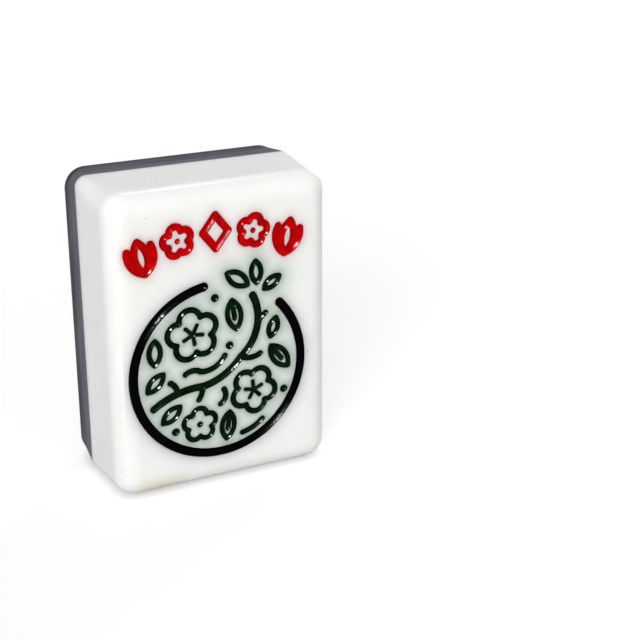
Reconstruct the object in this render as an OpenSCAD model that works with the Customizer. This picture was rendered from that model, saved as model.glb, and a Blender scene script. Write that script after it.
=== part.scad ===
// Two-tone game tile: a white resin block with an engraved, paint-filled face,
// a printed sheet behind it, and a thick clear back bonded over the sheet.
// The tile stands upright with its face towards -Y. The origin is under its middle.

/* [Tile body] */
// Width of the tile, from side to side
tile_w = 22.2; // [21:0.1:26]
// Height of the standing tile
tile_h = 30; // [29:0.1:36]
// Radius of the four corners of the outline
corner_r = 2.1; // [1.2:0.1:3]
// Rounding of the edges round the engraved face
front_r = 2; // [0.8:0.1:2.6]
// Rounding of the edges round the clear back
back_r = 1.6; // [0.8:0.1:2.6]

/* [Layers] */
// Thickness of the white block
block_t = 8.45; // [6:0.05:11]
// Thickness of the bond between the block and the printed sheet
rear_bond_t = 0.1; // [0.05:0.05:0.3]
// Thickness of the printed sheet
sheet_t = 0.25; // [0.1:0.05:0.5]
// Thickness of the clear bond between the sheet and the clear back
front_bond_t = 0.1; // [0.05:0.05:0.3]
// Thickness of the clear back
clear_t = 4.3; // [3:0.1:7]

/* [Engraving] */
// Depth of the engraved grooves
groove_d = 0.55; // [0.3:0.05:1.2]
// How far the top of the paint lies below the face
paint_sink = 0.12; // [0.05:0.01:0.25]
// Clearance between the paint and the walls of its groove
paint_gap = 0.01; // [0.005:0.005:0.03]
// How far the engraving sits to the left of the middle
art_left = 0.65; // [0:0.05:0.8]

/* [Ring] */
// Radius of the ring, to the middle of its line
ring_r = 8.6; // [8:0.1:9]
// Width of the ring's line
ring_line = 0.9; // [0.6:0.05:1.1]
// Height of the ring's centre over the bottom of the tile
ring_y = 11.85; // [10.5:0.05:12.5]
// Angle at which the ring's line starts, at the left of its gap
ring_start = 99; // [90:1:110]
// Angle at which the ring's line ends, at the right of its gap
ring_end = 402; // [390:1:410]

/* [Picture in the ring] */
// Width of the branch
branch_line = 0.78; // [0.6:0.02:0.8]
// Width of the twigs, the petals and the tendrils
picture_line = 0.6; // [0.4:0.02:0.62]
// Width of the leaves' outlines
leaf_line = 0.54; // [0.4:0.02:0.56]
// Width of the stamens
stamen_line = 0.42; // [0.3:0.02:0.44]
// Diameter of the buds
bud_d = 0.8; // [0.6:0.05:0.85]
// Radius of the upper blossom, as a share of the ring's radius
upper_blossom_r_share = 0.3; // [0.26:0.005:0.305]
// Radius of the lower blossom, as a share of the ring's radius
lower_blossom_r_share = 0.272; // [0.24:0.002:0.28]
// Radius of the small blossom, as a share of the ring's radius
small_blossom_r_share = 0.2; // [0.17:0.005:0.205]

/* [Red crest] */
// Width of the crest's lines
crest_line = 0.76; // [0.5:0.02:0.8]
// Width of the red blossoms' lines
crest_petal_line = 0.72; // [0.5:0.02:0.76]
// Height of the middle figure over the top of the ring's line
crest_rise = 5.05; // [4.6:0.05:5.15]
// Radius of the arc on which the five figures stand
crest_r = 18.6; // [17:0.1:24]
// Clear space between two figures, along that arc
crest_gap = 0.38; // [0.3:0.02:0.5]
// Radius of the red blossoms
crest_blossom_r = 1.45; // [1.3:0.01:1.48]
// Diameter of the dot in a red blossom
crest_dot_d = 0.55; // [0.3:0.05:0.6]
// Width of the lozenge, to the middle of its lines
lozenge_w = 2.5; // [2.2:0.1:2.6]
// Height of the lozenge, to the middle of its lines
lozenge_h = 3.2; // [2.8:0.1:3.4]
// Width of a flower bud, to the tips of its outer petals
flower_bud_w = 2.3; // [2:0.05:2.4]
// Height of a flower bud, to the middle of its lines
flower_bud_h = 3.15; // [2.8:0.05:3.3]

/* [Hidden] */
$fn = 64;

// How far a cut runs past the surface it opens
overrun = 0.5;

white = [0.96, 0.96, 0.93];
clear = [0.62, 0.65, 0.7, 0.45];
bond = [0.75, 0.76, 0.78, 0.6];
navy = [0.08, 0.08, 0.32];
red = [0.74, 0.03, 0.04];
black = [0.03, 0.03, 0.03];
green = [0.02, 0.16, 0.08];

// Heights of the layers over the clear back's outer face, with the tile lying on it
front_bond_z = clear_t;
sheet_z = front_bond_z + front_bond_t;
rear_bond_z = sheet_z + sheet_t;
block_z = rear_bond_z + rear_bond_t;
tile_t = block_z + block_t;

// A fillet can't be larger than the corner that it goes round
front_fillet = min(front_r, corner_r);
back_fillet = min(back_r, corner_r);

// Width of a line's round end, as a share of the line's width. It is a little wider, so
// that it crosses the line's sides cleanly.
end_share = 1.02;

// Petals of every blossom
petals = 5;
// Distance of a petal's centre from the blossom's, as a share of the blossom's radius
petal_reach_share = 0.56;
// Radius of a petal, as a share of the blossom's radius
petal_size_share = 0.42;
// Where a stamen starts and ends, as shares of the blossom's radius
stamen_shares = [0.1, 0.38];
// How far round a petal's line runs, to each side of its tip, until it meets the next petal's
petal_half_turn = 90 + 180 / petals
    - acos(petal_reach_share * sin(180 / petals) / petal_size_share);

// Bulge of a leaf's sides and length of its rib, as shares of the leaf's length
leaf_bulge_share = 0.23;
rib_share = 0.62;

// Half the width of each figure of the crest, from the middle one outwards
crest_halves = [
    (lozenge_w + crest_line) / 2,
    (petal_reach_share + petal_size_share) * crest_blossom_r + crest_petal_line / 2,
    (flower_bud_w + crest_line) / 2
];
// Where the figures stand along the arc, counted from the middle one
crest_places = [
    0,
    crest_halves[0] + crest_gap + crest_halves[1],
    crest_halves[0] + 2 * crest_gap + 2 * crest_halves[1] + crest_halves[2]
];
crest_y = ring_y + ring_r + crest_rise;
// The figures of the crest lean by this share of their turn along the arc
lean_share = 0.55;
// Turn of the red blossoms on their own centres
crest_turn = 8;

// Points of a flower bud, as shares of its width and height: its foot, its middle
// tip and an outer tip, and how far its petals bulge, as shares of its height
bud_foot_share = [0, -0.5];
bud_tip_share = [0, 0.5];
bud_side_share = [0.5, 0.3];
bud_middle_bulge_share = 0.2;
bud_outer_bulge_share = 0.175;

// Every table of the picture counts from the ring's centre in shares of its radius.
// A stroke is its start, its end and its bulge to the left.
branch_shares = [
    [[-0.78, -0.33], [-0.20, -0.17], 0.05],
    [[-0.20, -0.17], [0.26, 0.10], -0.05],
    [[0.26, 0.10], [0.42, 0.80], -0.13]
];
twig_shares = [
    [[-0.20, -0.17], [-0.25, -0.32], 0.01],
    [[0.26, 0.10], [0.50, 0.10], -0.03],
    [[-0.50, -0.20], [-0.58, -0.06], -0.02],
    [[0.48, 0.44], [0.57, 0.57], 0.02]
];
tendril_shares = [
    [[0.05, -0.25], [0.005, -0.42], 0.04],
    [[0.07, 0.15], [-0.22, 0.01], 0.05],
    [[-0.22, 0.01], [-0.40, 0.01], -0.03],
    [[0.51, -0.705], [0.265, -0.825], 0.02]
];
// A leaf is its foot, its tip and whether it has a rib
left_leaf_shares = [
    [[-0.66, 0.06], [-0.84, -0.12], false],
    [[-0.75, 0.18], [-0.74, 0.46], false]
];
right_leaf_shares = [
    [[0.63, 0.16], [0.84, -0.11], true],
    [[0.63, 0.28], [0.70, 0.49], false]
];
upper_leaf_shares = [
    [[0.17, 0.78], [0.22, 0.44], true]
];
lower_leaf_shares = [
    [[0.11, -0.54], [0.07, -0.86], true],
    [[-0.48, -0.36], [-0.68, -0.52], false]
];
bud_shares = [[0.13, 0.26], [0.785, -0.387], [-0.03, 0.84], [-0.54, -0.655]];
upper_blossom_share = [-0.30, 0.46];
lower_blossom_share = [0.412, -0.326];
small_blossom_share = [-0.25, -0.62];
upper_blossom_r = upper_blossom_r_share * ring_r;
lower_blossom_r = lower_blossom_r_share * ring_r;
small_blossom_r = small_blossom_r_share * ring_r;
// Turns of the blossoms on their own centres
upper_blossom_turn = 10;
lower_blossom_turn = -30;
small_blossom_turn = 0;

// The leaves that grow out through the ring's gap. Each is the foot and the tip, as a share of
// the gap's turn, from its right end, and a share of the height from the ring to the crest.
sprig_shares = [
    [[0.47, 0], [0.73, 0.18]],
    [[0.375, 0.09], [0.47, 0.47]],
    [[0.26, 0.045], [0.19, 0.39]]
];

// The paint is narrower than its groove by this much
fit = 2 * paint_gap;

// Stands the tile up: what lies on its back with its face up then faces -Y
module stood() {
    translate([0, tile_t / 2, 0]) rotate([90, 0, 0]) children();
}

// Half of a section through the rim: a plate of thickness t with one outer edge rounded
module rim_section(reach, t, edge) {
    difference() {
        square([reach, t]);
        translate([reach - edge, t - edge]) difference() {
            square(edge + overrun);
            circle(edge);
        }
    }
}

// A plate with the tile's outline, lying flat, with its upper edge rounded
module rounded_plate(t, edge) {
    x = tile_w / 2 - corner_r;
    y0 = corner_r;
    y1 = tile_h - corner_r;
    translate([-x, y0, 0]) cube([2 * x, y1 - y0, t]);
    for (side = [[x, y0, -90], [x, y1, 0], [-x, y1, 90], [-x, y0, 180]])
        translate([side[0], side[1], 0]) rotate(side[2])
            rotate_extrude(angle = 90) rim_section(corner_r, t, edge);
    for (side = [[x, y1, 0, y1 - y0], [-x, y0, 180, y1 - y0],
                 [-x, y1, 90, 2 * x], [x, y0, -90, 2 * x]])
        translate([side[0], side[1], 0]) rotate(side[2]) rotate([90, 0, 0])
            linear_extrude(side[3]) rim_section(corner_r, t, edge);
}

// A plate with the tile's outline and square edges
module plain_plate(t) {
    x = tile_w / 2 - corner_r;
    linear_extrude(t) {
        translate([-x, 0]) square([2 * x, tile_h]);
        translate([-tile_w / 2, corner_r]) square([tile_w, tile_h - 2 * corner_r]);
        for (cx = [-x, x], cy = [corner_r, tile_h - corner_r])
            translate([cx, cy]) circle(corner_r);
    }
}

// Part of a ring, from one angle to another, up to half a turn
module ring_part(r, line, from, to) {
    reach = 2 * (r + line);
    middle = (from + to) / 2;
    intersection() {
        difference() {
            circle(r + line / 2);
            circle(r - line / 2);
        }
        polygon([
            [0, 0],
            reach * [cos(from), sin(from)],
            reach * [cos(middle), sin(middle)],
            reach * [cos(to), sin(to)]
        ]);
    }
}

// The round end of a line
module line_end(line) {
    circle(d = end_share * line);
}

// A groove's outline with round ends, along an arc that bulges to the left of its way
module stroke(start, end, bulge, line) {
    chord = norm(end - start);
    way = (end - start) / chord;
    left = [-way.y, way.x];
    translate(start) line_end(line);
    translate(end) line_end(line);
    if (bulge == 0) {
        translate(start) rotate(atan2(way.y, way.x))
            translate([0, -line / 2]) square([chord, line]);
    } else {
        side = sign(bulge);
        r = (chord * chord / 4 + bulge * bulge) / (2 * abs(bulge));
        centre = (start + end) / 2 + left * (bulge - side * r);
        middle = atan2(side * left.y, side * left.x);
        half = asin(chord / 2 / r);
        translate(centre) ring_part(r, line, middle - half, middle + half);
    }
}

module strokes(shares, line) {
    for (s = shares) stroke(s[0] * ring_r, s[1] * ring_r, s[2] * ring_r, line);
}

module leaf(foot, tip, ribbed, line) {
    bulge = leaf_bulge_share * norm(tip - foot);
    stroke(foot, tip, bulge, line);
    stroke(foot, tip, -bulge, line);
    if (ribbed) stroke(foot, foot + rib_share * (tip - foot), 0, line);
}

module leaves(shares, line) {
    for (s = shares) leaf(s[0] * ring_r, s[1] * ring_r, s[2], line);
}

// A point of the sprig in the ring's gap
function sprig_point(share) =
    let (turn = ring_end - 360 + share[0] * (ring_start + 360 - ring_end))
    (ring_r + share[1] * crest_rise) * [cos(turn), sin(turn)];

module sprig_lines(less) {
    for (s = sprig_shares)
        leaf(sprig_point(s[0]), sprig_point(s[1]), false, leaf_line - less);
}

// The outline of a blossom, one arc to each petal
module petal_outline(r, line) {
    for (i = [0 : petals - 1]) rotate(90 + i * 360 / petals)
        translate([petal_reach_share * r, 0]) {
            size = petal_size_share * r;
            ring_part(size, line, -petal_half_turn, petal_half_turn);
            for (a = [-petal_half_turn, petal_half_turn])
                translate(size * [cos(a), sin(a)]) line_end(line);
        }
}

module stamens(r, line) {
    circle(d = line);
    for (i = [0 : petals - 1]) rotate(90 + (i + 1 / 2) * 360 / petals)
        stroke([stamen_shares[0] * r, 0], [stamen_shares[1] * r, 0], 0, line);
}

// Places a drawing at the ring's centre
module in_ring() {
    translate([-art_left, ring_y]) children();
}

// Places a drawing at figure i of the crest, counted from the middle one
module in_crest(i) {
    turn = sign(i) * crest_places[abs(i)] / crest_r * 180 / PI;
    translate([-art_left + crest_r * sin(turn), crest_y - crest_r * (1 - cos(turn))])
        rotate(-turn * lean_share) children();
}

// The drawings of the engraving. less is taken off the width of every line.
module bud_lines(less) {
    size = [flower_bud_w, flower_bud_h];
    foot = [for (k = [0, 1]) bud_foot_share[k] * size[k]];
    tip = [for (k = [0, 1]) bud_tip_share[k] * size[k]];
    outer = [for (k = [0, 1]) bud_side_share[k] * size[k]];
    line = crest_line - less;
    for (side = [-1, 1]) {
        stroke(foot, tip, side * bud_middle_bulge_share * flower_bud_h, line);
        stroke(foot, [side * outer.x, outer.y],
               -side * bud_outer_bulge_share * flower_bud_h, line);
    }
}

module crest_blossom_lines(side, less) {
    rotate(-side * crest_turn) {
        petal_outline(crest_blossom_r, crest_petal_line - less);
        circle(d = crest_dot_d - less);
    }
}

module lozenge_lines(less) {
    tips = [[lozenge_w / 2, 0], [0, lozenge_h / 2], [-lozenge_w / 2, 0], [0, -lozenge_h / 2]];
    for (i = [0 : 3]) stroke(tips[i], tips[(i + 1) % 4], 0, crest_line - less);
}

module ring_lines(less) {
    third = (ring_end - ring_start) / 3;
    for (i = [0 : 2])
        ring_part(ring_r, ring_line - less, ring_start + i * third, ring_start + (i + 1) * third);
    for (a = [ring_start, ring_end])
        translate(ring_r * [cos(a), sin(a)]) line_end(ring_line - less);
}

module branch_lines(less) {
    strokes(branch_shares, branch_line - less);
    strokes(twig_shares, picture_line - less);
}

module blossom_lines(share, r, turn, less) {
    translate(share * ring_r) rotate(turn) {
        petal_outline(r, picture_line - less);
        stamens(r, stamen_line - less);
    }
}

module small_blossom_lines(less) {
    translate(small_blossom_share * ring_r) rotate(small_blossom_turn) {
        petal_outline(small_blossom_r, leaf_line - less);
        circle(d = picture_line - less);
    }
}

module bud_dots(less) {
    for (s = bud_shares) translate(s * ring_r) circle(d = bud_d - less);
}

// The whole engraving, for the grooves
module engraving(less) {
    in_crest(-2) bud_lines(less);
    in_crest(-1) crest_blossom_lines(-1, less);
    in_crest(0) lozenge_lines(less);
    in_crest(1) crest_blossom_lines(1, less);
    in_crest(2) bud_lines(less);
    in_ring() {
        ring_lines(less);
        branch_lines(less);
        blossom_lines(upper_blossom_share, upper_blossom_r, upper_blossom_turn, less);
        blossom_lines(lower_blossom_share, lower_blossom_r, lower_blossom_turn, less);
        small_blossom_lines(less);
        leaves(left_leaf_shares, leaf_line - less);
        leaves(right_leaf_shares, leaf_line - less);
        leaves(upper_leaf_shares, leaf_line - less);
        leaves(lower_leaf_shares, leaf_line - less);
        sprig_lines(less);
        strokes(tendril_shares, picture_line - less);
        bud_dots(less);
    }
}

// The layers of the tile
module face_block() {
    color(white) stood() difference() {
        translate([0, 0, block_z]) rounded_plate(block_t, front_fillet);
        translate([0, 0, tile_t - groove_d]) linear_extrude(groove_d + overrun) engraving(0);
    }
}

module rear_bond() {
    color(bond) stood() translate([0, 0, rear_bond_z]) plain_plate(rear_bond_t);
}

module print_sheet() {
    color(navy) stood() translate([0, 0, sheet_z]) plain_plate(sheet_t);
}

module front_bond() {
    color(bond) stood() translate([0, 0, front_bond_z]) plain_plate(front_bond_t);
}

module clear_back() {
    color(clear) stood() translate([0, 0, clear_t]) mirror([0, 0, 1])
        rounded_plate(clear_t, back_fillet);
}

// Paint that fills a drawing's grooves up to a little under the face
module paint(tint) {
    color(tint) stood() translate([0, 0, tile_t - groove_d])
        linear_extrude(groove_d - paint_sink) children();
}

module red_bud_left() { paint(red) in_crest(-2) bud_lines(fit); }
module red_blossom_left() { paint(red) in_crest(-1) crest_blossom_lines(-1, fit); }
module red_lozenge() { paint(red) in_crest(0) lozenge_lines(fit); }
module red_blossom_right() { paint(red) in_crest(1) crest_blossom_lines(1, fit); }
module red_bud_right() { paint(red) in_crest(2) bud_lines(fit); }
module black_ring() { paint(black) in_ring() ring_lines(fit); }
module green_branch() { paint(green) in_ring() branch_lines(fit); }

module green_blossom_upper() {
    paint(green) in_ring()
        blossom_lines(upper_blossom_share, upper_blossom_r, upper_blossom_turn, fit);
}

module green_blossom_lower() {
    paint(green) in_ring()
        blossom_lines(lower_blossom_share, lower_blossom_r, lower_blossom_turn, fit);
}

module green_blossom_small() { paint(green) in_ring() small_blossom_lines(fit); }
module green_leaves_left() { paint(green) in_ring() leaves(left_leaf_shares, leaf_line - fit); }
module green_leaves_right() { paint(green) in_ring() leaves(right_leaf_shares, leaf_line - fit); }
module green_leaf_upper() { paint(green) in_ring() leaves(upper_leaf_shares, leaf_line - fit); }
module green_leaves_lower() { paint(green) in_ring() leaves(lower_leaf_shares, leaf_line - fit); }
module green_tendrils() { paint(green) in_ring() strokes(tendril_shares, picture_line - fit); }
module green_buds() { paint(green) in_ring() bud_dots(fit); }
module green_sprig() { paint(green) in_ring() sprig_lines(fit); }

face_block();
rear_bond();
print_sheet();
front_bond();
clear_back();
red_bud_left();
red_blossom_left();
red_lozenge();
red_blossom_right();
red_bud_right();
black_ring();
green_branch();
green_blossom_upper();
green_blossom_lower();
green_blossom_small();
green_leaves_left();
green_leaves_right();
green_leaf_upper();
green_leaves_lower();
green_tendrils();
green_buds();
green_sprig();
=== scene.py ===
import math

import bpy
import numpy as np
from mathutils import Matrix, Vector
from mathutils.geometry import delaunay_2d_cdt
from mathutils.kdtree import KDTree


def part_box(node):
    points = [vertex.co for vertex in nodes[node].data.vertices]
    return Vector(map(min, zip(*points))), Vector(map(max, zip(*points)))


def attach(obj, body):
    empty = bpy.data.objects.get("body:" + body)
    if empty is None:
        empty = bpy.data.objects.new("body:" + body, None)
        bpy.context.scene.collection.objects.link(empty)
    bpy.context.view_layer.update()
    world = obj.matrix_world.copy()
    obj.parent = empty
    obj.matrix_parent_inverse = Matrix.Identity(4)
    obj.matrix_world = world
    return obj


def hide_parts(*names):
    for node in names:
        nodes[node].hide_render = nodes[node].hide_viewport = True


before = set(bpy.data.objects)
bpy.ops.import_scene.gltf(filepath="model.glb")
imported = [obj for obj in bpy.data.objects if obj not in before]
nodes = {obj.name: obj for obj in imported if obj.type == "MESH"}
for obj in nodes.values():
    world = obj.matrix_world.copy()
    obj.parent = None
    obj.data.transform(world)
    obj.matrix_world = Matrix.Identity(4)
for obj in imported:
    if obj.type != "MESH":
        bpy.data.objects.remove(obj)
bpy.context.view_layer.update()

MM = 0.001

# Sizes of the tile in millimetres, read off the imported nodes
low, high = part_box("face_block")
HALF_W = high.x / MM
TOP = high.z / MM
FACE_Y = low.y / MM
SEAM_Y = high.y / MM
SHEET_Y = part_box("print_sheet")[1].y / MM
BACK_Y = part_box("clear_back")[1].y / MM
PAINT_FLOOR_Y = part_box("black_ring")[1].y / MM

# Radius of the upright corners at the seam and at both ends, and rounding of the edges
SEAM_CORNER_R = 1.1
CORNER_R = 2.1
FRONT_R = 2.0
BACK_R = 1.6

# Rounding of the grooves' lips
LIP_R = 0.075
# Slope of the paint from the wall to where it levels out, as shares of that way and slopes
PAINT_SLOPES = ((0, 0.3, 0.65, 1), (1.1, 0.67, 0.67, 0))
# Clearance between the paint and the walls of its groove
PAINT_GAP = 0.01
# The engraved patch of the face ends this far inside the tile's outline, on the rounding
FACE_EDGE = 1.0
# The clear back reaches this far into the printed sheet, so that no air lies between them
SEATED = 0.02
# The skin on the ground sides of the clear back, a haze whose dark tones are painted
# reflection, lies this far over the glass, and goes this many sections up the rounding
SKIN = 0.01
PAINTED_REFLECTION_SECTIONS = 5
# The paint meets the wall of its groove this far under the face
PAINT_EDGE = 0.05

# The meshes are made this fine: cells in which packed points are one point, the bends in
# degrees that belong to an arc, the step along an outline, and the steps round a corner
# and along a side
CELLS_PER_MM = 2000
SMOOTH_UNDER = 28
OUTLINE_STEP = 0.08
CORNER_STEPS = 20
SIDE_STEPS = 8
# Rows of points by their distance from the grooves, and the step along a row
LIP_ROWS = (0.014, 0.036, LIP_R)
LIP_STEP = 0.02
FACE_ROWS = (0.18, 0.34, 0.6, 1.0, 1.6)
FACE_STEP = 0.11
# Rows over the paint, as shares of the way to where it levels out, the step along a row,
# and the steps of the paint's profile
PAINT_ROWS = (0.1, 0.24, 0.42, 0.66, 0.97)
PAINT_STEP = 0.05
PROFILE_STEPS = 100
# A row drops the points that another part of the outline is nearer to than this share of
# the row's distance
ROW_KEPT = 0.86
# Rings of points over the rounding of the face, and their distance from the grooves
FACE_RINGS = 6
RING_CLEAR = 1.3 * LIP_R
# A rounding ends at this share of its radius, so that its slope stays finite
ROUNDING_END = 0.999
# Tolerances: of a plane, of a nearer foot point, of lying on an outline, of one point
IN_PLANE = 1e-3
NEARER_BY = 1e-7
ON_OUTLINE = 1e-4
ONE_POINT = 1e-5

# Each paint: how far from the wall its surface levels out, its two colours and its gloss,
# and the painted shade on the white beside it: the light that the white loses there, and how
# far off
PAINTS = {
    "red": {
        "reach": 0.33,
        "colours": ((160, 0, 2), (200, 0, 3)),
        "gloss": 0.02,
        "lost": (0.05, 0.24, 0.22),
        "spread": 0.5,
    },
    "black": {
        "reach": 0.4,
        "colours": ((0, 0, 0), (2, 2, 2)),
        "gloss": 0.02,
        "lost": (0.3, 0.3, 0.28),
        "spread": 0.5,
    },
    "green": {
        "reach": 0.29,
        "colours": ((0, 8, 1), (3, 34, 6)),
        "gloss": 0.03,
        "lost": (0.52, 0.42, 0.49),
        "spread": 0.8,
    },
}

# Colours of the other finishes, and of the painted reflection on the clear back's sides
RESIN_TONES = ((242, 244, 240), (247, 249, 246))
FOOT_TONE = (230, 226, 206)
DUST_TONE = (120, 110, 98)
PAINTED_REFLECTION_TONES = ((34, 35, 39), (101, 105, 114))
BOND_TONES = ((96, 98, 108), (128, 130, 138))
PAPER_TONE = (120, 122, 132)
# What the clear back and the dark threads let through, as shares of linear light, and how
# dense the smoke in the clear back is
CLEAR_TINT = (0.9, 0.9, 0.92, 1)
SMOKE_TINT = (0.5, 0.5, 0.53, 1)
SMOKE_DENSITY = 60.0
THREAD_TINT = (0.25, 0.25, 0.4, 1)

# The colours of the stripes and the stars
RED = (128, 0, 48)
ROSE = (182, 92, 132)
NAVY = (3, 5, 92)
LIGHT = (80, 98, 184)
GAP = (6, 14, 88)
PALE = (124, 132, 180)
STAR = (108, 110, 196)

# The printed stripes: their turn, the width of one repeat and its colours, and where they
# start on the sheet
STRIPE_TURN = math.radians(47.5)
STRIPE_PERIOD = 7.75
STRIPE_START = (1.5, 15.0)
STRIPE_STOPS = (
    (0.0, RED),
    (0.1, RED),
    (0.125, ROSE),
    (0.15, RED),
    (0.24, RED),
    (0.29, NAVY),
    (0.63, NAVY),
    (0.655, LIGHT),
    (0.69, LIGHT),
    (0.71, GAP),
    (0.74, GAP),
    (0.755, LIGHT),
    (0.79, LIGHT),
    (0.81, GAP),
    (0.835, GAP),
    (0.86, PALE),
    (0.99, PALE),
    (1.0, RED),
)
# The stars: where each row lies across the stripe and is shifted along it, the step along a
# row, the turn from one star to the next, and the radii of their tips and dents
STAR_ROWS = ((2.85, 0.0), (4.15, 0.68))
STAR_STEP = 1.36
STAR_TURN = 1.7
STAR_TIP = 0.36
STAR_DENT = 0.16

# Each lamp's place in metres, its size, its power, and whether it shows in gloss alone. Those
# that do put the small glints on the paint and a line of light on the roundings of the top
LAMPS = {
    "front": ((-0.423, -0.72, 0.401), (0.5, 0.4), 6.25, False),
    "behind": ((0.675, 0.558, 0.213), (0.4, 0.3), 3.2, False),
    "glint": ((-0.4, -0.72, 0.42), (0.1, 0.05), 34, True),
    "streak": ((0.29, 0.39, 0.78), (0.12, 0.1), 2.2, True),
}
LAMP_TARGET = (0, 0, 0.015)
# The strength of the room's light on the tile, and of the room as it is seen
ROOM_LIGHT = 0.4
ROOM_SEEN = 1.0
# The floor reaches this far, and lies this far under the tile, whose clear back has a little
# air under it as on a real table
FLOOR_REACH = 3
FLOOR_DROP = 0.00002


# Camera

def add_camera():
    """Fitted to the tile's outlines and seam, as the photograph shows them."""
    data = bpy.data.cameras.new("camera")
    data.lens = 78.26
    data.sensor_width = 36
    data.clip_start = 0.005
    data.clip_end = 20
    camera = bpy.data.objects.new("camera", data)
    camera.location = (-0.04761, -0.11957, 0.0634)
    camera.rotation_euler = (math.radians(69.12), 0, math.radians(-27.05))
    bpy.context.scene.collection.objects.link(camera)
    bpy.context.scene.camera = camera


# Outlines, as loops of points (x, z) in millimetres with the solid on their left

def plane_loops(name, y):
    """The outlines of a node's flat faces in the plane y that look towards -Y."""
    mesh = nodes[name].data
    count = len(mesh.vertices)
    co = np.empty(count * 3)
    mesh.vertices.foreach_get("co", co)
    co = co.reshape(-1, 3) / MM
    mesh.calc_loop_triangles()
    triangles = np.empty(len(mesh.loop_triangles) * 3, np.int64)
    mesh.loop_triangles.foreach_get("vertices", triangles)
    triangles = triangles.reshape(-1, 3)
    flat = np.all(np.abs(co[triangles, 1] - y) < IN_PLANE, axis=1)
    keys = {}
    points = []
    index = np.empty(count, np.int64)
    for i in np.unique(triangles[flat]):
        key = (round(co[i, 0] * CELLS_PER_MM), round(co[i, 2] * CELLS_PER_MM))
        if key not in keys:
            keys[key] = len(points)
            points.append((co[i, 0], co[i, 2]))
        index[i] = keys[key]
    points = np.array(points)
    edges = set()
    for a, b, c in index[triangles[flat]]:
        edges.update(((a, b), (b, c), (c, a)))
    after = {a: b for a, b in edges if a != b and (b, a) not in edges}
    loops = []
    while after:
        start = next(iter(after))
        loop = []
        at = start
        while at in after:
            loop.append(at)
            at = after.pop(at)
        if len(loop) > 2:
            loops.append(points[loop])
    return loops


def smooth_loop(loop):
    """A loop with its arcs rounded again and its points no more than a step apart."""
    ahead = np.roll(loop, -1, 0) - loop
    length = np.linalg.norm(ahead, axis=1)
    way = ahead / length[:, None]
    before = np.roll(way, 1, 0)
    soft = np.sum(way * before, axis=1) > math.cos(math.radians(SMOOTH_UNDER))
    tangent = np.roll(ahead, 1, 0) + ahead
    tangent /= np.linalg.norm(tangent, axis=1)[:, None]
    out = []
    count = len(loop)
    for i in range(count):
        j = (i + 1) % count
        start = tangent[i] if soft[i] else way[i]
        end = tangent[j] if soft[j] else way[i]
        n = max(1, math.ceil(length[i] / OUTLINE_STEP))
        t = np.arange(n)[:, None] / n
        out.append(
            (2 * t**3 - 3 * t**2 + 1) * loop[i]
            + (t**3 - 2 * t**2 + t) * length[i] * start
            + (3 * t**2 - 2 * t**3) * loop[j]
            + (t**3 - t**2) * length[i] * end
        )
    return np.vstack(out)


class Outline:
    """Loops of points, with what is needed to ask how far inside them a point lies."""

    def __init__(self, loops):
        self.points = np.vstack(loops)
        self.edges = []
        self.loops = []
        base = 0
        for loop in loops:
            n = len(loop)
            self.edges += [(base + i, base + (i + 1) % n) for i in range(n)]
            self.loops.append((base, n))
            base += n
        self.before = np.empty(base, np.int64)
        self.after = np.empty(base, np.int64)
        for a, b in self.edges:
            self.after[a] = b
            self.before[b] = a
        chord = self.points[self.after] - self.points[self.before]
        chord /= np.linalg.norm(chord, axis=1)[:, None]
        self.inward = np.stack([-chord[:, 1], chord[:, 0]], 1)
        self.tree = KDTree(base)
        for i, p in enumerate(self.points):
            self.tree.insert((p[0], p[1], 0), i)
        self.tree.balance()

    def nearest(self, points):
        """Distance to the outline, and the direction away from it."""
        near = np.array([self.tree.find((p[0], p[1], 0))[1] for p in points])
        best = points - self.points[near]
        distance = np.linalg.norm(best, axis=1)
        for other in (self.before, self.after):
            a = self.points[near]
            d = self.points[other[near]] - a
            t = np.sum((points - a) * d, axis=1) / np.sum(d * d, axis=1)
            foot = a + np.clip(t, 0, 1)[:, None] * d
            away = points - foot
            r = np.linalg.norm(away, axis=1)
            closer = r < distance - NEARER_BY
            best[closer] = away[closer]
            distance[closer] = r[closer]
        on = distance < ON_OUTLINE
        best[on] = self.inward[near[on]]
        distance[on] = 0
        return distance, best / np.linalg.norm(best, axis=1)[:, None]

    def inside(self, points):
        """Whether each point lies inside the loops, by counting crossings."""
        a = self.points
        b = self.points[self.after]
        row_height = 0.1
        lowest = min(a[:, 1].min(), points[:, 1].min())
        rows = ((points[:, 1] - lowest) / row_height).astype(int)
        first = ((np.minimum(a[:, 1], b[:, 1]) - lowest) / row_height).astype(int)
        last = ((np.maximum(a[:, 1], b[:, 1]) - lowest) / row_height).astype(int)
        result = np.zeros(len(points), bool)
        for row in np.unique(rows):
            mine = np.nonzero(rows == row)[0]
            theirs = (first <= row) & (last >= row)
            x = points[mine, 0][:, None]
            y = points[mine, 1][:, None]
            ax, ay = a[theirs].T
            bx, by = b[theirs].T
            spans = (ay > y) != (by > y)
            run = np.where(by == ay, 1, by - ay)
            cross = ax + (y - ay) * (bx - ax) / run
            result[mine] = np.sum(spans & (x < cross), axis=1) % 2 == 1
        return result


def offset_points(outline, distances, spacing, region):
    """Points inside an outline at the given distances from it, where they lie in a region."""
    found = []
    for d in distances:
        points = outline.points + d * outline.inward
        distance, _ = outline.nearest(points)
        points = points[(distance > ROW_KEPT * d) & region.inside(points)]
        kept = []
        taken = set()
        for p in points:
            cell = (round(p[0] / spacing), round(p[1] / spacing))
            if cell not in taken:
                taken.add(cell)
                kept.append(p)
        if kept:
            found.append(np.array(kept))
    return found


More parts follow.
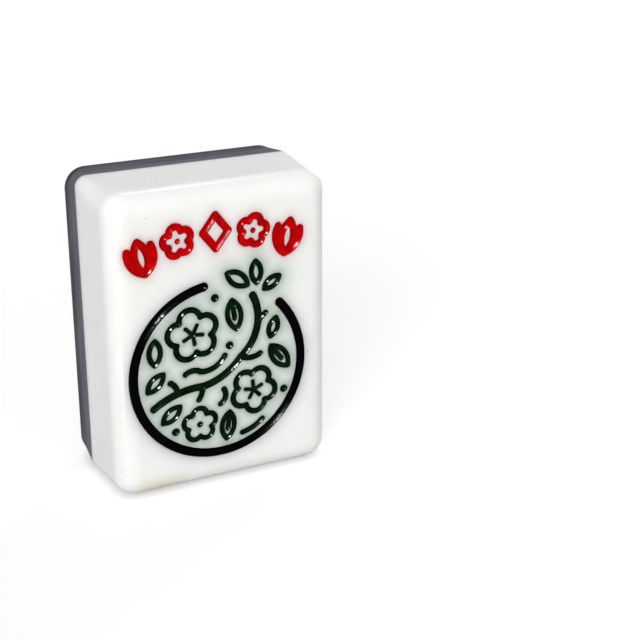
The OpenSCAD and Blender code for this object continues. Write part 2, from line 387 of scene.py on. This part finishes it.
def triangulate(outline, inner):
    """Points and triangles over the inside of an outline, turned to look towards -Y."""
    points = np.vstack([outline.points] + inner)
    verts, _, faces, _, _, _ = delaunay_2d_cdt(
        [Vector(p) for p in points], outline.edges, [], 0, ONE_POINT
    )
    flat = np.array([(v.x, v.y) for v in verts])
    faces = np.array([f for f in faces if len(f) == 3])
    faces = faces[outline.inside(flat[faces].mean(axis=1))]
    a, b, c = (flat[faces[:, k]] for k in range(3))
    turned = np.cross(b - a, c - a) < 0
    faces[turned] = faces[turned][:, ::-1]
    return flat, faces


def face_drop(points):
    """How far the front of the block has rounded off at each point, and which way."""
    core = np.array([HALF_W - CORNER_R, TOP / 2 - CORNER_R])
    from_middle = points - np.array([0, TOP / 2])
    over = np.abs(from_middle) - core
    out = np.maximum(over, 0)
    reach = np.linalg.norm(out, axis=1)
    flat_side = reach == 0
    way = np.where(flat_side[:, None], 0.0, out / np.where(flat_side, 1, reach)[:, None])
    inset = CORNER_R - reach - np.where(flat_side, over.max(axis=1), 0)
    q = np.clip(FRONT_R - inset, 0, FRONT_R * ROUNDING_END)
    run = np.sqrt(FRONT_R**2 - q**2)
    return FRONT_R - run, (q / run)[:, None] * way * np.sign(from_middle)


def relief(flat, distance, away, profile):
    """Lifts flat points to the rounded face, less a profile over the distance."""
    drop, fall = face_drop(flat)
    depth, slope = profile(distance)
    tilt = fall + slope[:, None] * away
    normals = np.stack([tilt[:, 0], -np.ones(len(flat)), tilt[:, 1]], 1)
    normals /= np.linalg.norm(normals, axis=1)[:, None]
    return np.stack([flat[:, 0], FACE_Y + drop + depth, flat[:, 1]], 1), normals


class Builder:
    """Collects points, faces and normals in millimetres for one mesh."""

    def __init__(self):
        self.co = []
        self.faces = []
        self.slots = []
        self.normals = []
        self.painted_shades = []
        self.count = 0

    def add(self, co, faces, normals, painted_shade=(1, 1, 1), slot=0):
        self.co.append(np.asarray(co, float))
        self.normals.append(np.broadcast_to(normals, (len(co), 3)))
        self.painted_shades.append(np.broadcast_to(painted_shade, (len(co), 3)))
        self.faces += [[self.count + int(i) for i in f] for f in faces]
        self.slots += [slot] * len(faces)
        self.count += len(co)

    def make(self, name, body="root"):
        co = np.vstack(self.co) * MM
        normals = np.vstack(self.normals)
        mesh = bpy.data.meshes.new(name)
        mesh.from_pydata([tuple(p) for p in co], [], self.faces)
        mesh.polygons.foreach_set("material_index", self.slots)
        # The painted shade goes into a colour attribute, where it is not plain white
        painted_shades = np.hstack([np.vstack(self.painted_shades), np.ones((len(co), 1))])
        if painted_shades.min() < 1:
            layer = mesh.color_attributes.new("painted_shade", "FLOAT_COLOR", "POINT")
            layer.data.foreach_set("color", painted_shades.ravel())
        mesh.shade_smooth()
        mesh.normals_split_custom_set_from_vertices([tuple(n) for n in normals])
        mesh.update()
        piece = bpy.data.objects.new(name, mesh)
        bpy.context.scene.collection.objects.link(piece)
        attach(piece, body)
        return piece


def corner_at(y):
    """Radius of the upright corners and how fast it grows: polishing has taken more off
    their ends than off their middles."""
    end = BACK_Y - BACK_R if y > SEAM_Y else FACE_Y + FRONT_R
    share = min(max((y - SEAM_Y) / (end - SEAM_Y), 0), 1)
    more = CORNER_R - SEAM_CORNER_R
    growth = more * 6 * share * (1 - share) / (end - SEAM_Y)
    return SEAM_CORNER_R + more * share * share * (3 - 2 * share), growth


def rim(inset, corner=CORNER_R):
    """The tile's outline, drawn in by an inset, as points and outward normals."""
    r = corner - inset
    x = HALF_W - corner
    z0 = corner
    z1 = TOP - corner
    centres = [(x, z0), (x, z1), (-x, z1), (-x, z0)]
    points = []
    outward = []
    for k, centre in enumerate(centres):
        for i in range(CORNER_STEPS + 1):
            a = math.radians(90 * (k - 1 + i / CORNER_STEPS))
            n = np.array([math.cos(a), math.sin(a)])
            points.append(np.array(centre) + r * n)
            outward.append(n)
        after = np.array(centres[(k + 1) % 4])
        a = math.radians(90 * k)
        n = np.array([math.cos(a), math.sin(a)])
        start = np.array(centre) + r * n
        end = after + r * n
        for i in range(1, SIDE_STEPS):
            points.append(start + (end - start) * i / SIDE_STEPS)
            outward.append(n)
    return np.array(points), np.array(outward)


def loft(builder, sections, slot=0):
    """Joins outlines. Each section is an inset, a y and the sine of the normal's turn
    towards -Y."""
    co = []
    normals = []
    for inset, y, sine in sections:
        corner, growth = corner_at(y)
        points, outward = rim(inset, corner)
        cosine = math.sqrt(1 - sine * sine)
        turn = growth * (np.abs(outward).sum(axis=1) - 1)
        co.append(np.stack([points[:, 0], np.full(len(points), y), points[:, 1]], 1))
        normal = [cosine * outward[:, 0], cosine * turn - sine, cosine * outward[:, 1]]
        normals.append(np.stack(normal, 1) / np.sqrt(1 + (cosine * turn) ** 2)[:, None])
    n = len(co[0])
    faces = []
    for k in range(len(sections) - 1):
        for i in range(n):
            j = (i + 1) % n
            faces.append([k * n + i, k * n + j, (k + 1) * n + j, (k + 1) * n + i])
    if sections[-1][1] > sections[0][1]:
        faces = [f[::-1] for f in faces]
    builder.add(np.vstack(co), faces, np.vstack(normals), slot=slot)


def cap(builder, inset, y, towards):
    """Closes the outline at y with a flat face that looks towards -Y (-1) or +Y (1)."""
    points, _ = rim(inset, corner_at(y)[0])
    co = np.stack([points[:, 0], np.full(len(points), y), points[:, 1]], 1)
    order = list(range(len(points)))
    builder.add(co, [order if towards < 0 else order[::-1]], (0, towards, 0))


def walls(builder, outline, depth, outwards):
    """Walls from an outline on the face down to the floor of the grooves."""
    side = outwards * outline.inward
    n = len(outline.points)
    x, z = outline.points.T
    top = FACE_Y + face_drop(outline.points)[0] + depth
    co = np.vstack(
        [np.stack([x, top, z], 1), np.stack([x, np.full(n, PAINT_FLOOR_Y), z], 1)]
    )
    normals = np.stack([side[:, 0], np.zeros(n), side[:, 1]], 1)
    faces = [[b, a, n + a, n + b] for a, b in outline.edges]
    builder.add(co, faces, np.vstack([normals, normals]))


def groove_floor(builder, outline, towards):
    """The flat floor of the grooves, or the underside of what fills them."""
    flat, faces = triangulate(outline, [])
    if towards > 0:
        faces = faces[:, ::-1]
    co = np.stack([flat[:, 0], np.full(len(flat), PAINT_FLOOR_Y), flat[:, 1]], 1)
    builder.add(co, faces, (0, towards, 0))


def upright(y_from, y_to, steps=10):
    """Sections along the side, up to where the rounding starts."""
    return [(0, y_from + (y_to - y_from) * k / steps, 0) for k in range(steps)]


def fillet(radius, y_start, y_sign, steps=18, turn=90):
    """Sections round an edge, from the side towards the flat."""
    out = []
    for i in range(steps + 1):
        a = math.radians(turn * i / steps)
        out.append(
            (
                radius * (1 - math.cos(a)),
                y_start + y_sign * radius * math.sin(a),
                -y_sign * math.sin(a),
            )
        )
    return out


# Pieces of the object

def tint_of(name):
    """The tint of a paint's node, which its name starts with."""
    return name.split("_")[0]


def paint_outline(name):
    """The outline of a paint's node, taken from its flat top."""
    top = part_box(name)[0].y / MM
    return Outline([smooth_loop(loop) for loop in plane_loops(name, top)])


def lip(distance):
    """The rounded lip of a groove."""
    q = np.clip(LIP_R - distance, 0, LIP_R * ROUNDING_END)
    run = np.sqrt(LIP_R**2 - q**2)
    return LIP_R - run, -q / run


def painted_shade_near(points, outlines):
    """Painted shade for the white round the paint, as a multiplier: light sinks into the
    paint there.
    """
    painted_shade = np.ones((len(points), 3))
    for tint, paint in PAINTS.items():
        loops = []
        for name, outline in outlines.items():
            if tint_of(name) == tint:
                loops += [outline.points[base : base + n] for base, n in outline.loops]
        distance, _ = Outline(loops).nearest(points)
        painted_shade *= 1 - np.exp(-distance / paint["spread"])[:, None] * np.array(paint["lost"])
    return painted_shade


def make_face_block(outlines):
    """The white block, with a groove in its rounded face for each paint."""
    turn = math.degrees(math.acos(1 - FACE_EDGE / FRONT_R))
    builder = Builder()
    start = FACE_Y + FRONT_R
    loft(builder, upright(SEAM_Y, start) + fillet(FRONT_R, start, -1, steps=12, turn=turn))
    cap(builder, 0, SEAM_Y, 1)
    loops = []
    for outline in outlines.values():
        wide = outline.points - PAINT_GAP * outline.inward
        loops += [wide[base : base + n][::-1] for base, n in outline.loops]
    grooves = Outline(loops)
    region = Outline([rim(FACE_EDGE)[0]] + loops)
    inner = offset_points(grooves, LIP_ROWS, LIP_STEP, region)
    inner += offset_points(grooves, FACE_ROWS, FACE_STEP, region)
    for k in range(1, FACE_RINGS + 1):
        ring = rim(FACE_EDGE + (FRONT_R - FACE_EDGE) * k / FACE_RINGS)[0]
        ring = ring[region.inside(ring)]
        inner.append(ring[grooves.nearest(ring)[0] > RING_CLEAR])
    flat, faces = triangulate(region, inner)
    distance, away = grooves.nearest(flat)
    co, normals = relief(flat, distance, away, lip)
    # The white beside the paint carries painted shade and tint in its vertex colours
    builder.add(co, faces, normals, painted_shade_near(flat, outlines))
    walls(builder, grooves, LIP_R, 1)
    groove_floor(builder, Outline([loop[::-1] for loop in loops]), -1)
    piece = builder.make("engraved_block")
    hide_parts("face_block")
    return piece


def make_fill(name, outline, reach):
    """Paint in its groove: its surface is drawn up the walls and lies lower in the middle."""
    grid = np.linspace(0, 1, PROFILE_STEPS + 1)
    slopes = np.interp(grid, *PAINT_SLOPES)
    depths = np.concatenate([[0], np.cumsum((slopes[1:] + slopes[:-1]) / 2)])
    depths = depths * reach / PROFILE_STEPS

    def hollow(distance):
        share = distance / reach
        return PAINT_EDGE + np.interp(share, grid, depths), np.interp(share, grid, slopes)

    rows = [reach * share for share in PAINT_ROWS]
    flat, faces = triangulate(outline, offset_points(outline, rows, PAINT_STEP, outline))
    distance, away = outline.nearest(flat)
    co, normals = relief(flat, distance, away, hollow)
    builder = Builder()
    builder.add(co, faces, normals)
    walls(builder, outline, PAINT_EDGE, -1)
    groove_floor(builder, outline, 1)
    piece = builder.make(name + "_enamel")
    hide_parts(name)
    return piece


def make_layer(name):
    """A thin layer at the seam, as wide as the block and the clear back there."""
    near, far = [corner.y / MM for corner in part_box(name)]
    builder = Builder()
    loft(builder, [(0, near, 0), (0, far, 0)])
    cap(builder, 0, near, -1)
    cap(builder, 0, far, 1)
    piece = builder.make(name + "_layer")
    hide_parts(name)
    return piece


def make_clear_cap():
    """The clear back, with a skin just over the glass on its ground sides: haze, dark as a
    painted reflection.
    """
    builder = Builder()
    inner = SHEET_Y - SEATED
    start = BACK_Y - BACK_R
    rounding = fillet(BACK_R, start, 1)
    glass = upright(inner, start) + rounding
    glass = [(inset + SKIN * (1 + sine), y, sine) for inset, y, sine in glass]
    loft(builder, glass)
    cap(builder, SKIN, inner, -1)
    cap(builder, BACK_R, BACK_Y, 1)
    # The skin of haze and painted reflection on the ground sides
    loft(builder, upright(SHEET_Y, start) + rounding[:PAINTED_REFLECTION_SECTIONS], 1)
    piece = builder.make("clear_cap")
    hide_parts("clear_back", "front_bond")
    piece.data.materials.append(clear_acrylic())
    piece.data.materials.append(painted_reflection_skin())
    return piece


# Materials

def linear(rgb):
    """An sRGB colour of 0 to 255 in linear light."""
    out = []
    for value in rgb:
        c = value / 255
        out.append(c / 12.92 if c <= 0.04045 else ((c + 0.055) / 1.055) ** 2.4)
    return (*out, 1)


class Tree:
    """A material's nodes, with short ways to add and join them."""

    def __init__(self, name):
        self.material = bpy.data.materials.new(name)
        self.material.use_nodes = True
        self.nodes = self.material.node_tree.nodes
        self.links = self.material.node_tree.links
        self.nodes.clear()
        self.out = self.nodes.new("ShaderNodeOutputMaterial")

    def put(self, socket, value):
        if isinstance(value, bpy.types.NodeSocket):
            self.links.new(value, socket)
        else:
            socket.default_value = value

    def add(self, kind, inputs=None, **settings):
        node = self.nodes.new(kind)
        for key, value in settings.items():
            setattr(node, key, value)
        for key, value in (inputs or {}).items():
            self.put(node.inputs[key], value)
        return node

    def math(self, operation, *values):
        node = self.nodes.new("ShaderNodeMath")
        node.operation = operation
        for i, value in enumerate(values):
            self.put(node.inputs[i], value)
        return node.outputs[0]

    def plus(self, a, b):
        return self.math("ADD", a, b)

    def minus(self, a, b):
        return self.math("SUBTRACT", a, b)

    def times(self, a, b):
        return self.math("MULTIPLY", a, b)

    def mix(self, factor, a, b, blend="MIX"):
        node = self.nodes.new("ShaderNodeMix")
        node.data_type = "RGBA"
        node.blend_type = blend
        self.put(node.inputs["Factor"], factor)
        self.put(node.inputs[6], a)
        self.put(node.inputs[7], b)
        return node.outputs[2]

    def place(self):
        """The place on the object in millimetres, as a vector and as x, y and z."""
        coords = self.add("ShaderNodeTexCoord")
        scaled = self.add(
            "ShaderNodeVectorMath", {0: coords.outputs["Object"]}, operation="SCALE"
        )
        scaled.inputs["Scale"].default_value = 1 / MM
        split = self.add("ShaderNodeSeparateXYZ", {0: scaled.outputs[0]})
        return scaled.outputs[0], split.outputs

    def vector(self, *values):
        return self.add("ShaderNodeCombineXYZ", dict(enumerate(values))).outputs[0]

    def noise(self, vector, scale, detail, roughness=0.5):
        node = self.add(
            "ShaderNodeTexNoise",
            {"Vector": vector, "Scale": scale, "Detail": detail, "Roughness": roughness},
        )
        return node.outputs["Fac"]

    def ranged(self, value, low_in, high_in, low_out, high_out):
        node = self.add(
            "ShaderNodeMapRange",
            {
                "Value": value,
                "From Min": low_in,
                "From Max": high_in,
                "To Min": low_out,
                "To Max": high_out,
            },
        )
        return node.outputs["Result"]

    def bump(self, height, strength, distance):
        node = self.add(
            "ShaderNodeBump",
            {"Height": height, "Strength": strength, "Distance": distance},
        )
        return node.outputs["Normal"]

    def surface(self, **inputs):
        shader = self.add("ShaderNodeBsdfPrincipled")
        for key, value in inputs.items():
            self.put(shader.inputs[key.replace("_", " ")], value)
        self.links.new(shader.outputs[0], self.out.inputs["Surface"])
        return shader


def assign(piece, material):
    piece.data.materials.clear()
    piece.data.materials.append(material)


def white_resin():
    t = Tree("white_resin")
    place, (x, _, z) = t.place()
    cloud = t.noise(place, 0.35, 3)
    tone = t.mix(cloud, *[linear(rgb) for rgb in RESIN_TONES])
    # The lower edge is a little darker and yellower, in a patch that fades on three sides
    patch = t.ranged(t.noise(place, 0.8, 4), 0.34, 0.56, 0.2, 1)
    for at, outside, inside in ((z, 2.4, 0.8), (x, -3.6, -5.2), (x, -9.8, -8.8)):
        patch = t.times(patch, t.ranged(at, outside, inside, 0, 1))
    tone = t.mix(patch, tone, linear(FOOT_TONE))
    dust = t.add("ShaderNodeTexVoronoi", {"Vector": place, "Scale": 0.4})
    speck = t.ranged(dust.outputs["Distance"], 0.018, 0.028, 0.7, 0)
    tone = t.mix(speck, tone, linear(DUST_TONE))
    # Painted shade and tint beside the paint, where light sinks into it, multiplies the tone
    painted_shade = t.add("ShaderNodeVertexColor", layer_name="painted_shade")
    tone = t.mix(1.0, tone, painted_shade.outputs[0], "MULTIPLY")
    grain = t.noise(place, 9, 4)
    t.surface(
        Base_Color=tone,
        Roughness=t.ranged(grain, 0.3, 0.7, 0.24, 0.34),
        Specular_IOR_Level=0.12,
        Subsurface_Weight=1.0,
        Subsurface_Radius=(1.0, 1.0, 0.95),
        Subsurface_Scale=0.0007,
        Normal=t.bump(grain, 0.02, 0.00002),
    )
    return t.material


def enamel(name, colours, gloss):
    t = Tree(name)
    place, _ = t.place()
    pool = t.ranged(t.noise(place, 1.1, 3), 0.35, 0.65, 0, 1)
    fine = t.noise(place, 3.2, 3)
    t.surface(
        Base_Color=t.mix(pool, *[linear(rgb) for rgb in colours]),
        Roughness=t.ranged(fine, 0.3, 0.7, 0.04, 0.12),
        Specular_IOR_Level=gloss,
        Normal=t.bump(fine, 0.35, 0.00006),
    )
    return t.material


def clear_acrylic():
    """Clear for the eye, and for the lamps too, which refraction alone would shut out."""
    t = Tree("clear_acrylic")
    shader = t.surface(
        Base_Color=(1, 1, 1, 1),
        Roughness=0.02,
        IOR=1.49,
        Transmission_Weight=1.0,
        Specular_Tint=(0.05, 0.05, 0.05, 1),
    )
    clear = t.add("ShaderNodeBsdfTransparent", {"Color": CLEAR_TINT})
    path = t.add("ShaderNodeLightPath")
    chosen = t.add(
        "ShaderNodeMixShader",
        {0: path.outputs["Is Shadow Ray"], 1: shader.outputs[0], 2: clear.outputs[0]},
    )
    t.links.new(chosen.outputs[0], t.out.inputs["Surface"])
    smoke = t.add(
        "ShaderNodeVolumeAbsorption", {"Color": SMOKE_TINT, "Density": SMOKE_DENSITY}
    )
    t.links.new(smoke.outputs[0], t.out.inputs["Volume"])
    return t.material


def painted_reflection_skin():
    """Haze on the ground sides, dark as a painted reflection, streaked along them and paler
    towards the seam.
    """
    t = Tree("painted_reflection_skin")
    _, (x, y, z) = t.place()
    drawn_out = t.vector(t.times(x, 0.12), t.times(y, 2.4), t.times(z, 0.12))
    streak = t.ranged(t.noise(drawn_out, 1.0, 3), 0.35, 0.65, -0.25, 0.25)
    share = t.plus(streak, t.ranged(y, 4.8, 2.5, 0.15, 0.85))
    # The dark tones are painted reflection
    tone = t.mix(share, *[linear(rgb) for rgb in PAINTED_REFLECTION_TONES])
    t.surface(Base_Color=tone, Roughness=0.4, Specular_IOR_Level=0.03, Alpha=0.86)
    return t.material


def bond_film():
    t = Tree("bond_film")
    place, _ = t.place()
    tone = t.mix(t.noise(place, 1.5, 3), *[linear(rgb) for rgb in BOND_TONES])
    t.surface(Base_Color=tone, Roughness=0.35)
    return t.material


def stripe_ramp(t, share):
    """The stripes' colour at a share of one repeat."""
    ramp = t.add("ShaderNodeValToRGB", {0: share})
    elements = ramp.color_ramp.elements
    while len(elements) < len(STRIPE_STOPS):
        elements.new(0.5)
    for element, (at, colour) in zip(elements, STRIPE_STOPS):
        element.position = at
        element.color = linear(colour)
    return ramp.outputs["Color"]


def star(t, u, v, turn):
    """A five-pointed star round u = v = 0: 1 inside and 0 outside."""
    radius = t.math("SQRT", t.plus(t.times(u, u), t.times(v, v)))
    angle = t.plus(t.math("ARCTAN2", u, v), turn)
    fold = math.radians(72)
    folded = t.math("ABSOLUTE", t.minus(t.math("FLOORED_MODULO", angle, fold), fold / 2))
    px = t.times(radius, t.math("COSINE", folded))
    py = t.times(radius, t.math("SINE", folded))
    dent_x = STAR_DENT * math.cos(fold / 2)
    dent_y = STAR_DENT * math.sin(fold / 2)
    side = t.minus(t.times(t.minus(px, STAR_TIP), dent_y), t.times(py, dent_x - STAR_TIP))
    return t.ranged(side, 0.022, -0.03, 0, 1)


def star_rows(t, across, along):
    """Rows of stars on the navy of each repeat."""
    repeat = t.math("FLOOR", t.math("DIVIDE", across, STRIPE_PERIOD))
    local = t.minus(across, t.times(repeat, STRIPE_PERIOD))
    rows = []
    for row_at, shift in STAR_ROWS:
        cell = t.math("DIVIDE", t.plus(along, shift), STAR_STEP)
        index = t.math("FLOOR", cell)
        v = t.times(t.minus(t.minus(cell, index), 0.5), STAR_STEP)
        rows.append(star(t, t.minus(local, row_at), v, t.times(index, STAR_TURN)))
    return t.math("MAXIMUM", *rows)


def printed_sheet():
    t = Tree("printed_sheet")
    place, (x, y, z) = t.place()
    # Across and along the stripes, as seen from the back of the tile
    start_x, start_z = STRIPE_START
    sine = math.sin(STRIPE_TURN)
    cosine = math.cos(STRIPE_TURN)
    height = t.minus(z, start_z)
    across = t.plus(t.times(t.minus(start_x, x), sine), t.times(height, cosine))
    along = t.minus(t.times(x, -cosine), t.times(height, sine))
    # The weave pulls the edges of the stripes about
    pull = t.noise(t.vector(t.times(x, 4.5), 0, z), 2.2, 3, 0.7)
    wander = t.noise(place, 0.55, 2)
    pulled = t.plus(
        t.ranged(pull, 0.3, 0.7, -0.13, 0.13), t.ranged(wander, 0.3, 0.7, -0.04, 0.04)
    )
    share = t.math("FRACT", t.math("DIVIDE", t.plus(across, pulled), STRIPE_PERIOD))
    colour = stripe_ramp(t, share)
    worn = t.ranged(t.noise(place, 1.3, 2), 0.35, 0.65, 0.45, 0.95)
    stars = t.times(star_rows(t, across, along), worn)
    colour = t.mix(stars, colour, linear(STAR))
    # Threads show as short upright flecks, less so on the pale stripe
    fleck = t.noise(t.vector(t.times(x, 7.0), 0, t.times(z, 1.6)), 1.0, 3, 0.65)
    woven = t.ranged(share, 0.83, 0.87, 1.0, 0.2)
    flecks = t.times(t.ranged(fleck, 0.4, 0.64, 0.0, 0.7), woven)
    colour = t.mix(flecks, colour, THREAD_TINT, "MULTIPLY")
    # The cut edge of the sheet is plain paper
    edge = t.ranged(y, SHEET_Y - 0.01, SHEET_Y - 0.004, 0, 1)
    tone = t.mix(edge, linear(PAPER_TONE), colour)
    t.surface(Base_Color=tone, Roughness=0.6, Specular_IOR_Level=0.0)
    return t.material


# Stage

def add_lamp(name, location, size, power, gloss_alone):
    data = bpy.data.lights.new(name, "AREA")
    data.shape = "RECTANGLE"
    data.size, data.size_y = size
    data.energy = power
    lamp = bpy.data.objects.new(name, data)
    lamp.location = location
    way = Vector(LAMP_TARGET) - Vector(location)
    lamp.rotation_euler = way.to_track_quat("-Z", "Y").to_euler()
    lamp.visible_diffuse = not gloss_alone
    bpy.context.scene.collection.objects.link(lamp)


def seen_directly(tree):
    """1 for what the camera sees straight, in gloss or through glass, and otherwise 0."""
    path = tree.nodes.new("ShaderNodeLightPath")
    total = path.outputs["Is Camera Ray"]
    for name in ("Is Glossy Ray", "Is Transmission Ray"):
        either = tree.nodes.new("ShaderNodeMath")
        either.operation = "MAXIMUM"
        tree.links.new(total, either.inputs[0])
        tree.links.new(path.outputs[name], either.inputs[1])
        total = either.outputs[0]
    return total


def add_world():
    world = bpy.data.worlds.new("studio")
    bpy.context.scene.world = world
    world.use_nodes = True
    tree = world.node_tree
    tree.nodes.clear()
    out = tree.nodes.new("ShaderNodeOutputWorld")
    light = tree.nodes.new("ShaderNodeBackground")
    light.inputs["Color"].default_value = (1, 1, 1, 1)
    level = tree.nodes.new("ShaderNodeMapRange")
    level.inputs["To Min"].default_value = ROOM_LIGHT
    level.inputs["To Max"].default_value = ROOM_SEEN
    tree.links.new(seen_directly(tree), level.inputs["Value"])
    tree.links.new(level.outputs[0], light.inputs["Strength"])
    tree.links.new(light.outputs[0], out.inputs["Surface"])


def add_floor():
    mesh = bpy.data.meshes.new("floor")
    corners = [
        (x * FLOOR_REACH, y * FLOOR_REACH, -FLOOR_DROP)
        for x, y in ((-1, -1), (1, -1), (1, 1), (-1, 1))
    ]
    mesh.from_pydata(corners, [], [(0, 1, 2, 3)])
    piece = bpy.data.objects.new("floor", mesh)
    bpy.context.scene.collection.objects.link(piece)
    t = Tree("floor_paper")
    paper = t.add("ShaderNodeBsdfDiffuse", {"Color": (0.6, 0.6, 0.6, 1)})
    # What the eye sees of the floor is filled up towards white. The fill grows further off,
    # where less of the lamps' light arrives, and is weak close under the tile, which hides it
    glow = t.add("ShaderNodeEmission", {"Color": (1, 1, 1, 1)})
    coords = t.add("ShaderNodeTexCoord")
    away = t.add("ShaderNodeVectorMath", {0: coords.outputs["Object"]}, operation="LENGTH")
    level = t.ranged(away.outputs["Value"], 0.05, 0.5, 0.54, 0.82)
    open_air = t.add("ShaderNodeAmbientOcclusion", {"Distance": 0.001}, samples=8)
    level = t.times(level, t.ranged(open_air.outputs["AO"], 0, 1, 0.35, 1))
    t.put(glow.inputs["Strength"], t.times(seen_directly(t.material.node_tree), level))
    both = t.add("ShaderNodeAddShader", {0: paper.outputs[0], 1: glow.outputs[0]})
    t.links.new(both.outputs[0], t.out.inputs["Surface"])
    assign(piece, t.material)


add_camera()
add_world()
add_floor()
for name, lamp in LAMPS.items():
    add_lamp(name, *lamp)

outlines = {name: paint_outline(name) for name in sorted(nodes) if tint_of(name) in PAINTS}
assign(make_face_block(outlines), white_resin())
make_clear_cap()
assign(make_layer("rear_bond"), bond_film())
assign(make_layer("print_sheet"), printed_sheet())
enamels = {
    tint: enamel(tint + "_paint", paint["colours"], paint["gloss"])
    for tint, paint in PAINTS.items()
}
for name, outline in outlines.items():
    tint = tint_of(name)
    piece = make_fill(name, outline, PAINTS[tint]["reach"])
    assign(piece, enamels[tint])

bpy.context.scene.view_settings.view_transform = "Standard"
